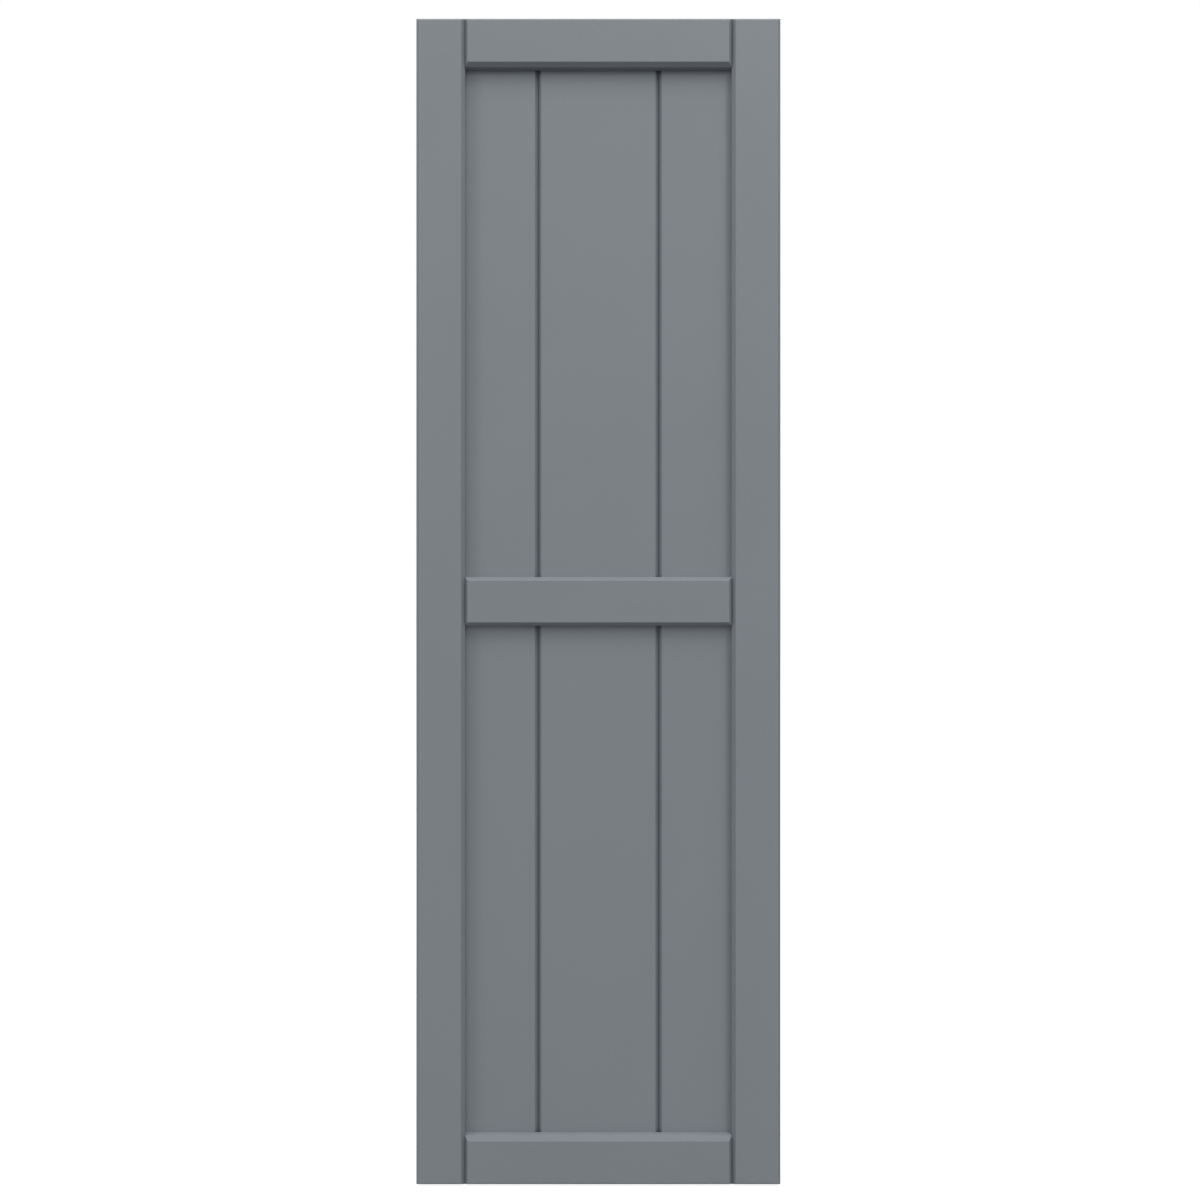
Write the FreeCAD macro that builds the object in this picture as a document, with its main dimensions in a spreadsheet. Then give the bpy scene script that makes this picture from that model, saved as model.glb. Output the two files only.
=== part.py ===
"""Framed board and batten shutter: three tongued boards behind a frame of chamfered battens.

Millimetres. The origin is the centre of the back, where the shutter lies against a wall.
+X runs across the shutter, +Z is up, and +Y points into the wall, so the front faces -Y.
"""

import FreeCAD
import Part
import Sketcher
import os

# Driving dimensions, each with what it measures.
SIZES = [
    ("overall_width", 381.0, "across the outside of the stiles"),
    ("overall_height", 1219.2, "boards and stiles, end to end"),
    ("board_thickness", 15.875, "back of a board to its face"),
    ("centre_board_width", 127.0, "between the two V joints, centre to centre"),
    ("board_chamfer", 3.6, "half the width of a V joint between boards"),
    ("tongue_length", 6.0, "how far a tongue stands out of its board"),
    ("tongue_thickness", 5.0, "front of a tongue to its back"),
    ("tongue_clearance", 0.3, "free space in front of, behind and beyond a tongue"),
    ("batten_thickness", 9.525, "how far stiles and rails stand proud of the boards"),
    ("batten_chamfer", 3.6, "bevel round the face of every stile and rail"),
    ("stile_width", 50.8, "face width of a stile, chamfers included"),
    ("top_rail_width", 50.8, "face width of the top rail"),
    ("middle_rail_width", 50.8, "face width of the middle rail"),
    ("bottom_rail_width", 50.8, "face width of the bottom rail"),
]

# Places and lengths that follow from the driving dimensions.
SIDE_BOARD_WIDTH = "(sizes.overall_width - sizes.centre_board_width) / 2"
RAIL_LENGTH = "sizes.overall_width - 2 * sizes.stile_width"
LEFT_SIDE = "-sizes.overall_width / 2"
FOOT = "-sizes.overall_height / 2"
BOARD_FACE = "-sizes.board_thickness"
TONGUE_FRONT = "(sizes.board_thickness - sizes.board_chamfer + sizes.tongue_thickness) / 2"

PARTS_FOLDER = "parts"
TINY = 1e-6


def make_sheet(doc):
    """The spreadsheet that every sketch, feature and placement reads."""
    sheet = doc.addObject("Spreadsheet::Sheet", "sizes")
    for row, (alias, value, meaning) in enumerate(SIZES, start=1):
        sheet.set(f"A{row}", meaning)
        sheet.set(f"B{row}", str(value))
        sheet.setAlias(f"B{row}", alias)
    doc.recompute()


def make_body(doc, label, x, y, z):
    """An empty body whose own origin is bound to a place in the shutter."""
    body = doc.addObject("PartDesign::Body", label)
    body.Label = label
    for axis, place in zip("xyz", (x, y, z)):
        body.setExpression(f"Placement.Base.{axis}", place)
    return body


def draw_rectangle(body, plane_role, name, left, low, width, height):
    """A closed rectangle on one of the body's own origin planes, placed and sized by expressions."""
    plane = next(p for p in body.Origin.OriginFeatures if p.Role == plane_role)
    sketch = body.newObject("Sketcher::SketchObject", name)
    sketch.AttachmentSupport = [(plane, "")]
    sketch.MapMode = "FlatFace"
    corners = [FreeCAD.Vector(*xy) for xy in ((1, 1), (2, 1), (2, 2), (1, 2))]
    for start, end in zip(corners, corners[1:] + corners[:1]):
        sketch.addGeometry(Part.LineSegment(start, end))
    for line in range(4):
        sketch.addConstraint(Sketcher.Constraint("Coincident", line, 2, (line + 1) % 4, 1))
    for line, direction in enumerate(("Horizontal", "Vertical", "Horizontal", "Vertical")):
        sketch.addConstraint(Sketcher.Constraint(direction, line))
    dimensions = [
        ("left", "DistanceX", (-1, 1, 0, 1), left),
        ("low", "DistanceY", (-1, 1, 0, 1), low),
        ("width", "DistanceX", (0, 1, 0, 2), width),
        ("height", "DistanceY", (1, 1, 1, 2), height),
    ]
    for label, kind, ends, size in dimensions:
        index = sketch.addConstraint(Sketcher.Constraint(kind, *ends, 1.0))
        sketch.renameConstraint(index, label)
        sketch.setExpression(f"Constraints.{label}", size)
    return sketch


def pad(body, sketch, name, length):
    """Extrudes a sketch along its normal."""
    feature = body.newObject("PartDesign::Pad", name)
    feature.Profile = sketch
    feature.setExpression("Length", length)
    body.Document.recompute()
    return feature


def pocket_upwards(body, sketch, name, length):
    """Cuts a sketch on the body's foot upwards through the solid, and checks that it cuts."""
    before = body.Tip.Shape.Volume
    feature = body.newObject("PartDesign::Pocket", name)
    feature.Profile = sketch
    feature.Reversed = True
    feature.setExpression("Length", length)
    body.Document.recompute()
    if feature.Shape.Volume > before - TINY:
        raise RuntimeError(f"{body.Label}: {name} cuts nothing")


def chamfer(body, edges, name, size):
    """Bevels the named edges, or all the edges of a named face, at 45 degrees."""
    solid = body.Tip
    feature = body.newObject("PartDesign::Chamfer", name)
    feature.Base = (solid, edges)
    feature.setExpression("Size", size)
    body.Document.recompute()


def front_face(shape):
    """The name of the flat face that looks along -Y and lies furthest forward."""
    faces = enumerate(shape.Faces, start=1)
    number, _ = min(faces, key=lambda numbered: numbered[1].CenterOfMass.y)
    return f"Face{number}"


def front_edge_at(shape, x):
    """The name of the upright edge at x that lies furthest forward."""
    upright = [
        (number, edge)
        for number, edge in enumerate(shape.Edges, start=1)
        if abs(edge.CenterOfMass.x - x) < TINY and edge.BoundBox.XLength < TINY
        and edge.BoundBox.YLength < TINY
    ]
    number, _ = min(upright, key=lambda numbered: numbered[1].CenterOfMass.y)
    return f"Edge{number}"


def make_board(doc, label, x, width, has_groove, has_tongue):
    """A full height board, grooved on its left edge and tongued on its right where it joins another.

    The front edge beside each joint is chamfered, so that two boards meet in a V, and the tongue
    lies midway between the foot of that V and the back.
    """
    body = make_body(doc, label, x, "0", FOOT)
    face = draw_rectangle(body, "XZ_Plane", "board_outline", "0", "0", width, "sizes.overall_height")
    blank = pad(body, face, "board_blank", "sizes.board_thickness")
    right_edge = blank.Shape.BoundBox.XMax
    if has_tongue:
        section = draw_rectangle(
            body, "XY_Plane", "tongue_section", width, f"-({TONGUE_FRONT})",
            "sizes.tongue_length", "sizes.tongue_thickness",
        )
        pad(body, section, "tongue", "sizes.overall_height")
    if has_groove:
        section = draw_rectangle(
            body, "XY_Plane", "groove_section", "0", f"-({TONGUE_FRONT} + sizes.tongue_clearance)",
            "sizes.tongue_length + sizes.tongue_clearance",
            "sizes.tongue_thickness + 2 * sizes.tongue_clearance",
        )
        pocket_upwards(body, section, "groove", "sizes.overall_height")
    joint_edges = [0.0] * has_groove + [right_edge] * has_tongue
    edges = [front_edge_at(body.Tip.Shape, place) for place in joint_edges]
    chamfer(body, edges, "joint_chamfers", "sizes.board_chamfer")
    return body


def make_batten(doc, label, x, z, width, height):
    """A flat batten on the face of the boards, chamfered all round its own face."""
    body = make_body(doc, label, x, BOARD_FACE, z)
    face = draw_rectangle(body, "XZ_Plane", "batten_outline", "0", "0", width, height)
    blank = pad(body, face, "batten_blank", "sizes.batten_thickness")
    chamfer(body, [front_face(blank.Shape)], "face_chamfer", "sizes.batten_chamfer")
    return body


def make_boards(doc):
    """Left, centre and right board, edge to edge across the whole width."""
    centre_x = "-sizes.centre_board_width / 2"
    right_x = "sizes.centre_board_width / 2"
    return [
        make_board(doc, "left_board", LEFT_SIDE, SIDE_BOARD_WIDTH, False, True),
        make_board(doc, "centre_board", centre_x, "sizes.centre_board_width", True, True),
        make_board(doc, "right_board", right_x, SIDE_BOARD_WIDTH, True, False),
    ]


def make_frame(doc):
    """Stiles from foot to head, and three rails between them that leave two equal panels."""
    right_x = "sizes.overall_width / 2 - sizes.stile_width"
    rail_x = f"{LEFT_SIDE} + sizes.stile_width"
    top_z = "sizes.overall_height / 2 - sizes.top_rail_width"
    middle_z = "(sizes.bottom_rail_width - sizes.top_rail_width - sizes.middle_rail_width) / 2"
    stiles = [("left_stile", LEFT_SIDE), ("right_stile", right_x)]
    rails = [("top_rail", top_z), ("middle_rail", middle_z), ("bottom_rail", FOOT)]
    frame = [
        make_batten(doc, label, x, FOOT, "sizes.stile_width", "sizes.overall_height")
        for label, x in stiles
    ]
    frame += [
        make_batten(doc, label, rail_x, z, RAIL_LENGTH, f"sizes.{label}_width")
        for label, z in rails
    ]
    return frame


def check(doc, bodies):
    """Stops if any object failed to compute, or a piece isn't one valid solid."""
    for thing in doc.Objects:
        if {"Invalid", "Error"} & set(thing.State):
            raise RuntimeError(f"{thing.Label} failed: {thing.State}")
    for body in bodies:
        if body.Shape.isNull() or not body.Shape.isValid() or len(body.Shape.Solids) != 1:
            raise RuntimeError(f"{body.Label} isn't one valid solid")


def main():
    doc = FreeCAD.newDocument("board_and_batten_shutter")
    make_sheet(doc)
    bodies = make_boards(doc) + make_frame(doc)
    doc.recompute()
    check(doc, bodies)
    os.makedirs(PARTS_FOLDER, exist_ok=True)
    for body in bodies:
        body.Shape.exportStep(f"{PARTS_FOLDER}/{body.Label}.step")
        box = body.Shape.BoundBox
        print(f"{body.Label}: x {box.XMin:.2f} to {box.XMax:.2f}, y {box.YMin:.2f} to {box.YMax:.2f},"
              f" z {box.ZMin:.2f} to {box.ZMax:.2f}, {body.Shape.Volume / 1000:.1f} cm3")


main()
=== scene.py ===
import bmesh
import bpy
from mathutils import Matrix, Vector


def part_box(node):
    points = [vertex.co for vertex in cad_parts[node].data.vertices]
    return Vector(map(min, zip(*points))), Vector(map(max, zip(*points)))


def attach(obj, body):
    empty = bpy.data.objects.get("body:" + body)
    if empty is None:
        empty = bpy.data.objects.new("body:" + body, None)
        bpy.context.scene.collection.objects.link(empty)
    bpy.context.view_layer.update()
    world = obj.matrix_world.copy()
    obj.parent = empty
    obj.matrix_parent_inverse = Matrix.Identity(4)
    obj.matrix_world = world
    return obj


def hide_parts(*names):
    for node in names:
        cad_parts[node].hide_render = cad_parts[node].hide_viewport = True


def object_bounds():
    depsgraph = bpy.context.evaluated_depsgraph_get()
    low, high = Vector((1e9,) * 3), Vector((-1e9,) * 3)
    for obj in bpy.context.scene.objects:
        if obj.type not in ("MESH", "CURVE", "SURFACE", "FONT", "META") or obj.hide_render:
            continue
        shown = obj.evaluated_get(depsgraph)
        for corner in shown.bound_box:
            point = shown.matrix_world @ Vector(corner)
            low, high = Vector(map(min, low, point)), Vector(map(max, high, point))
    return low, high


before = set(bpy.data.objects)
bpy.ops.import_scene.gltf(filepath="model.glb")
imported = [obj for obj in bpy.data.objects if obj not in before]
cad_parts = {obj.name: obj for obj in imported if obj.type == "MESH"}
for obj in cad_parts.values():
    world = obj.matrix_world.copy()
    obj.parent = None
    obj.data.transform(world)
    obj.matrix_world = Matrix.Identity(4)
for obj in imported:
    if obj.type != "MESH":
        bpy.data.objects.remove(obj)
cad_low, cad_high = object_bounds()

# The boards: three lengths of smooth cellular plastic trim, planed to one thickness.
# Each is tongued into the groove of the next, and its front edge is chamfered there, so that
# a V shows between boards. The arrises are eased a little before painting.
BOARD_CHAMFER = 0.0036
TONGUE_LENGTH = 0.006
TONGUE_THICKNESS = 0.005
TONGUE_CLEARANCE = 0.0003
ARRIS = 0.0004
ARRIS_STEPS = 3
FLAT_FACE_WEIGHT = 100
SHARP = 0.2
NEAR = 1e-5


def settle(piece, node):
    """Names a piece after its CAD node, and puts its size and place into its mesh."""
    piece.name = node + "_painted"
    piece.data.name = node + "_painted"
    bpy.ops.object.transform_apply(location=True, rotation=True, scale=True)


def open_piece(node, size):
    """Sizes and settles the primitive just added, and opens it in edit mode."""
    piece = bpy.context.object
    piece.scale = size
    settle(piece, node)
    bpy.ops.object.mode_set(mode="EDIT")
    return piece


def pick(piece, kind, wanted):
    """Selects, in edit mode, just the faces, edges or corners of a piece that are wanted."""
    bpy.ops.mesh.select_all(action="DESELECT")
    bpy.ops.mesh.select_mode(type=kind)
    shape = bmesh.from_edit_mesh(piece.data)
    parts = {"FACE": shape.faces, "EDGE": shape.edges, "VERT": shape.verts}[kind]
    for part in parts:
        part.select_set(wanted(part))
    bmesh.update_edit_mesh(piece.data)


def centre(part):
    """The middle of a face or an edge."""
    return sum((corner.co for corner in part.verts), Vector()) / len(part.verts)


def cut_across(place, direction):
    """Cuts the whole of what is in edit mode along a plane."""
    bpy.ops.mesh.select_all(action="SELECT")
    bpy.ops.mesh.bisect(plane_co=place, plane_no=direction)


def ease_arrises(piece):
    """Rounds every outward corner of a piece, closes edit mode and evens the shading."""
    pick(piece, "EDGE", lambda edge: edge.is_convex and edge.calc_face_angle() > SHARP)
    bpy.ops.mesh.bevel(offset=ARRIS, segments=ARRIS_STEPS, affect="EDGES")
    bpy.ops.object.mode_set(mode="OBJECT")
    bpy.ops.object.shade_smooth()
    evened = piece.modifiers.new("even_shading", "WEIGHTED_NORMAL")
    evened.weight = FLAT_FACE_WEIGHT
    bpy.ops.object.modifier_apply(modifier=evened.name)


MIX_AMOUNT = 0
MIX_FIRST = 6
MIX_SECOND = 7
MIX_RESULT = 2


class Shade:
    """A socket of a node tree: Python's arithmetic on it adds Math nodes."""

    def __init__(self, tree, socket=None):
        self.tree = tree
        self.socket = socket

    def node(self, kind, settings, sockets, output=0):
        """Any other node: its settings first, then the values or links of its sockets."""
        made = self.tree.nodes.new(kind)
        for name, value in settings.items():
            setattr(made, name, value)
        for name, value in sockets.items():
            if isinstance(value, Shade):
                self.tree.links.new(value.socket, made.inputs[name])
            else:
                made.inputs[name].default_value = value
        return Shade(self.tree, made.outputs[output] if made.outputs else None)

    def blend(self, amount, first, second):
        """A colour that goes from the first to the second with the amount."""
        colours = {MIX_AMOUNT: amount, MIX_FIRST: first, MIX_SECOND: second}
        return self.node("ShaderNodeMix", {"data_type": "RGBA"}, colours, output=MIX_RESULT)

    def math(self, operation, first, second):
        return self.node("ShaderNodeMath", {"operation": operation}, {0: first, 1: second})

    def __add__(self, other):
        return self.math("ADD", self, other)

    def __radd__(self, other):
        return self.math("ADD", other, self)

    def __sub__(self, other):
        return self.math("SUBTRACT", self, other)

    def __rsub__(self, other):
        return self.math("SUBTRACT", other, self)

    def __mul__(self, other):
        return self.math("MULTIPLY", self, other)

    def __rmul__(self, other):
        return self.math("MULTIPLY", other, self)


def bare_tree(owner):
    """The node tree of a new material or world, with nothing in it."""
    owner.use_nodes = True
    owner.node_tree.nodes.clear()
    return Shade(owner.node_tree)


PAINT = (0.204, 0.224, 0.2445)
NOISE_MIDDLE = 0.5
CLOUDS_PER_METRE = 9.0
CLOUDS_DETAIL = 3.0
SPRAY_PER_METRE = 900.0
SPRAY_DETAIL = 2.0
PEEL_PER_METRE = 330.0
PEEL_DETAIL = 1.0
TONE_SPREAD = 0.04
TONE_MIDDLE = 0.5
TONE_CLOUDS = 0.8
TONE_SPRAY = 0.5
PEEL_SPRAY = 0.25
PEEL_HEIGHT = 0.0002
PEEL_STRENGTH = 0.5
SATIN = 0.5
SATIN_CLOUDS = 0.16
SATIN_SPRAY = 0.1
SHINE = 0.3
# Painted shade: every milled chamfer is darkened in its colour, and more so where ambient occlusion
# finds a V joint.
PAINTED_SHADE_TONE = (0.01, 0.011, 0.012)
PAINTED_CHAMFER_SHADE = 0.165
PAINTED_JOINT_SHADE = 0.5
JOINT_REACH = 0.005
JOINT_SAMPLES = 16
CHAMFER_SLOPE = -0.7071
CHAMFER_TOLERANCE = 0.1


def sprayed_paint(name):
    """Satin paint on smooth plastic: faint clouds of tone, fine spray and orange peel.

    It is duller on the milled chamfers, whose colour carries painted shade, darkest deep in a V joint.
    """
    material = bpy.data.materials.new(name)
    tree = bare_tree(material)
    place = tree.node("ShaderNodeTexCoord", {}, {}, output="Object")

    def noise(scale, detail):
        sockets = {"Vector": place, "Scale": scale, "Detail": detail}
        return tree.node("ShaderNodeTexNoise", {}, sockets) - NOISE_MIDDLE

    clouds = noise(CLOUDS_PER_METRE, CLOUDS_DETAIL)
    spray = noise(SPRAY_PER_METRE, SPRAY_DETAIL)
    peel = noise(PEEL_PER_METRE, PEEL_DETAIL)
    thin = [(1 - TONE_SPREAD) * level for level in PAINT]
    full = [(1 + TONE_SPREAD) * level for level in PAINT]
    tone = TONE_MIDDLE + TONE_CLOUDS * clouds + TONE_SPRAY * spray
    sprayed = tree.blend(tone, (*thin, 1), (*full, 1))
    normal = tree.node("ShaderNodeTexCoord", {}, {}, output="Normal")
    slope = tree.node("ShaderNodeSeparateXYZ", {}, {"Vector": normal}, output="Y")
    milled = tree.node(
        "ShaderNodeMath", {"operation": "COMPARE"}, {0: slope, 1: CHAMFER_SLOPE, 2: CHAMFER_TOLERANCE}
    )
    # Painted shade: ambient occlusion darkens the chamfers' colour deep in a V joint, on top of a fixed
    # darkening of every chamfer.
    openness = tree.node(
        "ShaderNodeAmbientOcclusion", {"samples": JOINT_SAMPLES}, {"Distance": JOINT_REACH}, output="AO"
    )
    painted_shade = milled * (PAINTED_CHAMFER_SHADE + PAINTED_JOINT_SHADE * (1 - openness))
    relief = tree.node(
        "ShaderNodeBump", {},
        {"Strength": PEEL_STRENGTH, "Distance": PEEL_HEIGHT, "Height": peel + PEEL_SPRAY * spray},
    )
    finish = tree.node(
        "ShaderNodeBsdfPrincipled", {},
        {
            # The base colour carries the painted shade on the chamfers.
            "Base Color": tree.blend(painted_shade, sprayed, (*PAINTED_SHADE_TONE, 1)),
            "Roughness": SATIN + SATIN_CLOUDS * clouds + SATIN_SPRAY * (spray + milled),
            "Specular IOR Level": SHINE,
            "Normal": relief,
        },
    )
    tree.node("ShaderNodeOutputMaterial", {}, {"Surface": finish})
    return material


board_paint = sprayed_paint("board_paint")


def add_tongue(board, side, back, front):
    """Draws a tongue out of the board's section, between two depths of its right edge."""
    for depth in (back, front):
        cut_across((0, depth, 0), (0, 1, 0))
    pick(
        board, "EDGE",
        lambda edge: abs(centre(edge).x - side) < NEAR and front < centre(edge).y < back,
    )
    bpy.ops.mesh.extrude_region_move(TRANSFORM_OT_translate={"value": (TONGUE_LENGTH, 0, 0)})


def cut_groove(board, side, back, front):
    """Takes a groove with room for a tongue out of the left edge of the board's section."""
    bottom = side + TONGUE_LENGTH + TONGUE_CLEARANCE
    back += TONGUE_CLEARANCE
    front -= TONGUE_CLEARANCE
    cut_across((bottom, 0, 0), (1, 0, 0))
    for depth in (back, front):
        cut_across((0, depth, 0), (0, 1, 0))
    pick(
        board, "FACE",
        lambda face: centre(face).x < bottom and front < centre(face).y < back,
    )
    bpy.ops.mesh.delete(type="FACE")


def make_board(node, has_groove, has_tongue):
    """One board, in the place of its CAD node: its section is shaped, then drawn out to length."""
    low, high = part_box(node)
    jointed_sides = []
    if has_groove:
        jointed_sides.append(low.x)
    if has_tongue:
        high.x -= TONGUE_LENGTH
        jointed_sides.append(high.x)
    bpy.ops.object.select_all(action="DESELECT")
    middle = (low + high) / 2
    bpy.ops.mesh.primitive_plane_add(size=1, location=(middle.x, middle.y, low.z))
    board = open_piece(node, high - low)
    tongue_front = (low.y + BOARD_CHAMFER + high.y - TONGUE_THICKNESS) / 2
    tongue_back = tongue_front + TONGUE_THICKNESS
    if has_tongue:
        add_tongue(board, high.x, tongue_back, tongue_front)
    if has_groove:
        cut_groove(board, low.x, tongue_back, tongue_front)
    bpy.ops.mesh.select_all(action="SELECT")
    bpy.ops.mesh.dissolve_limited(angle_limit=SHARP)
    pick(
        board, "VERT",
        lambda corner: abs(corner.co.y - low.y) < NEAR
        and any(abs(corner.co.x - side) < NEAR for side in jointed_sides),
    )
    bpy.ops.mesh.bevel(offset=BOARD_CHAMFER, segments=1, affect="VERTICES")
    bpy.ops.mesh.select_all(action="SELECT")
    bpy.ops.mesh.extrude_region_move(TRANSFORM_OT_translate={"value": (0, 0, high.z - low.z)})
    bpy.ops.mesh.select_all(action="SELECT")
    bpy.ops.mesh.normals_make_consistent(inside=False)
    ease_arrises(board)
    board.data.materials.append(board_paint)
    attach(board, "root")
    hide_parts(node)


make_board("left_board", has_groove=False, has_tongue=True)
make_board("centre_board", has_groove=True, has_tongue=True)
make_board("right_board", has_groove=True, has_tongue=False)

# The stiles and rails: flat battens of the same plastic, glued and pinned on the boards.
# The stiles run from end to end and the rails fit between them; the face of every batten is
# chamfered all round, so that stile and rail meet in a V too.
BATTEN_CHAMFER = 0.0036

frame_paint = sprayed_paint("frame_paint")


def make_batten(node):
    """A batten in the place of its CAD node."""
    low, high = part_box(node)
    bpy.ops.object.select_all(action="DESELECT")
    bpy.ops.mesh.primitive_cube_add(size=1, location=(low + high) / 2)
    batten = open_piece(node, high - low)
    pick(batten, "EDGE", lambda edge: all(abs(end.co.y - low.y) < NEAR for end in edge.verts))
    bpy.ops.mesh.bevel(offset=BATTEN_CHAMFER, segments=1, affect="EDGES")
    ease_arrises(batten)
    batten.data.materials.append(frame_paint)
    return batten


def copy_batten(batten, from_node, node):
    """A like batten, with a mesh of its own, in the place of another CAD node."""
    bpy.ops.object.select_all(action="DESELECT")
    batten.select_set(True)
    bpy.context.view_layer.objects.active = batten
    bpy.ops.object.duplicate()
    copy = bpy.context.object
    copy.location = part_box(node)[0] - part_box(from_node)[0]
    settle(copy, node)
    return copy


left_stile = make_batten("left_stile")
top_rail = make_batten("top_rail")
battens = {
    "left_stile": left_stile,
    "right_stile": copy_batten(left_stile, "left_stile", "right_stile"),
    "top_rail": top_rail,
    "middle_rail": copy_batten(top_rail, "top_rail", "middle_rail"),
    "bottom_rail": copy_batten(top_rail, "top_rail", "bottom_rail"),
}
for batten_node, batten_piece in battens.items():
    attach(batten_piece, "root")
    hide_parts(batten_node)

# The floor: a wide pale matt sheet under the shutter, which stands on it for the picture.
# It looks white but keeps the shutter's shadow, and it sends little light back up.
WHITE = (1, 1, 1, 1)
FLOOR_SIZE = 24.0
FLOOR_PALE = (0.35, 0.35, 0.35, 1)
FLOOR_BOUNCE = (0.2, 0.2, 0.2, 1)
FLOOR_LIFT = 0.75


def seen_rays(tree):
    """One for a ray from the camera, or seen in gloss or glass, and nought for soft light."""
    kinds = ("Is Camera Ray", "Is Glossy Ray", "Is Transmission Ray")
    straight, glossy, clear = (
        tree.node("ShaderNodeLightPath", {}, {}, output=kind) for kind in kinds
    )
    return straight + glossy + clear


bpy.ops.object.select_all(action="DESELECT")
bpy.ops.mesh.primitive_plane_add(size=FLOOR_SIZE, location=(0, 0, cad_low.z))
floor = bpy.context.object
floor.name = "floor"

floor_finish = bpy.data.materials.new("pale_floor")
floor_tree = bare_tree(floor_finish)
floor_seen = seen_rays(floor_tree)
floor_colour = floor_tree.blend(floor_seen, FLOOR_BOUNCE, FLOOR_PALE)
matt = floor_tree.node("ShaderNodeBsdfDiffuse", {}, {"Color": floor_colour})
lift = floor_tree.node(
    "ShaderNodeEmission", {}, {"Color": WHITE, "Strength": FLOOR_LIFT * floor_seen}
)
lifted = floor_tree.node("ShaderNodeAddShader", {}, {0: matt, 1: lift})
floor_tree.node("ShaderNodeOutputMaterial", {}, {"Surface": lifted})
floor.data.materials.append(floor_finish)

# The studio light: white all round, with wide soft panels high in front and overhead,
# and smaller ones high on the right and on the left.
SKY_LIGHT = 0.77

world = bpy.data.worlds.new("studio")
bpy.context.scene.world = world
sky = bare_tree(world)
sky_strength = SKY_LIGHT + (1 - SKY_LIGHT) * seen_rays(sky)
background = sky.node("ShaderNodeBackground", {}, {"Color": WHITE, "Strength": sky_strength})
sky.node("ShaderNodeOutputWorld", {}, {"Surface": background})


def soft_panel(name, place, width, height, power):
    """A wide soft light at a place, turned towards the middle of the shutter."""
    bpy.ops.object.light_add(type="AREA", location=place)
    panel = bpy.context.object
    panel.name = name
    panel.data.shape = "RECTANGLE"
    panel.data.size = width
    panel.data.size_y = height
    panel.data.energy = power
    panel.rotation_euler = (-Vector(place)).to_track_quat("-Z", "Y").to_euler()


soft_panel("front_panel", place=(0.91, -3.64, 9.27), width=6.0, height=3.0, power=285)
soft_panel("overhead_panel", place=(0, -0.85, 6.0), width=4.5, height=1.5, power=35)
soft_panel("right_panel", place=(2.5, -2.5, 3.54), width=1.2, height=3.0, power=69)
soft_panel("left_panel", place=(-3.9, -2.07, 2.35), width=0.9, height=3.0, power=57)

# The camera: square to the shutter's face, level with its middle, and so close that the inner
# sides of the top and bottom rails show.
CAMERA_TO_FACE = 0.860
CAMERA_ASIDE = 0.0017
CAMERA_ABOVE = 0.0015
LENS = 24.765
SENSOR = 36.0
LEVEL = (1.5707963, 0, 0)

bpy.ops.object.camera_add(
    location=(CAMERA_ASIDE, cad_low.y - CAMERA_TO_FACE, CAMERA_ABOVE), rotation=LEVEL
)
camera = bpy.context.object
camera.data.lens = LENS
camera.data.sensor_width = SENSOR
bpy.context.scene.camera = camera
bpy.context.scene.view_settings.view_transform = "Standard"
